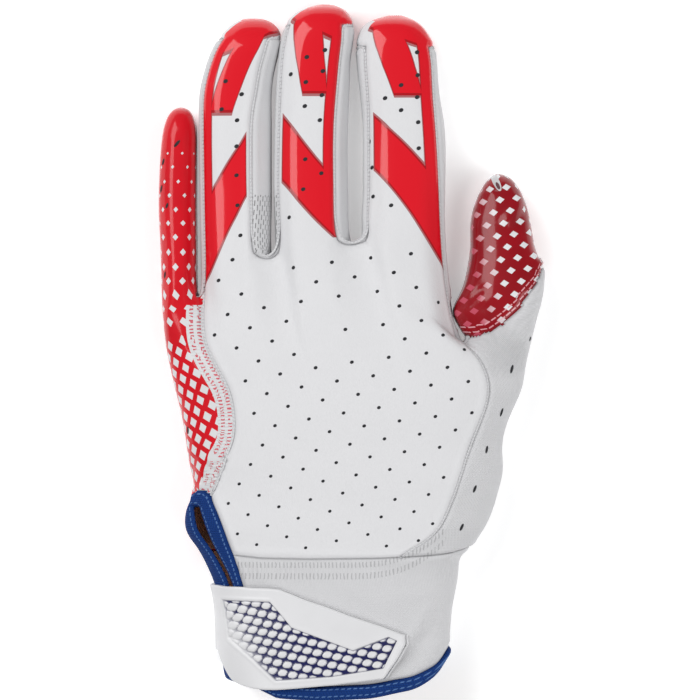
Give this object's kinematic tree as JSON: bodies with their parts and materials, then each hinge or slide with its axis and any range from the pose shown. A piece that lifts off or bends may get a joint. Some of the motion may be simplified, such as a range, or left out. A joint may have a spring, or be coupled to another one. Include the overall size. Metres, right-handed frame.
{
  "type": "football receiver glove",
  "caption": "Left-hand receiver glove lying palm down, filled out and hollow, with knit finger sides, a bound hem and wrist slit, and a moulded wrist strap.",
  "frame": {"origin": "centre of the bounding box on the plane that the palm lies on", "axes": "+X towards the thumb side, +Y towards the fingertips, +Z out of the back of the hand"},
  "size_m": [0.1338, 0.24, 0.0362],
  "materials": {
    "back_panel": "smooth white stretch cloth with a satin print film",
    "palm_panel": "glossy red grip film with a printed white lattice",
    "thumb_shell": "glossy red grip film with a printed darker lattice",
    "thumb_gusset": "matt pale grey knit",
    "side_little_ring": "matt pale knit",
    "side_ring_middle": "matt pale knit",
    "side_middle_index": "matt pale knit",
    "side_index_thumb": "matt pale knit",
    "cuff": "matt white knit",
    "edge_binding": "matt royal-blue woven tape",
    "strap": "satin white moulded rubber with a navy ground"
  },
  "bodies": {
    "root": {"back_panel": "back_panel", "palm_panel": "palm_panel", "thumb_shell": "thumb_shell", "thumb_gusset": "thumb_gusset", "side_little_ring": "side_little_ring", "side_ring_middle": "side_ring_middle", "side_middle_index": "side_middle_index", "side_index_thumb": "side_index_thumb", "cuff": "cuff", "edge_binding": "edge_binding", "strap": "strap"}
  },
  "joints": []
}
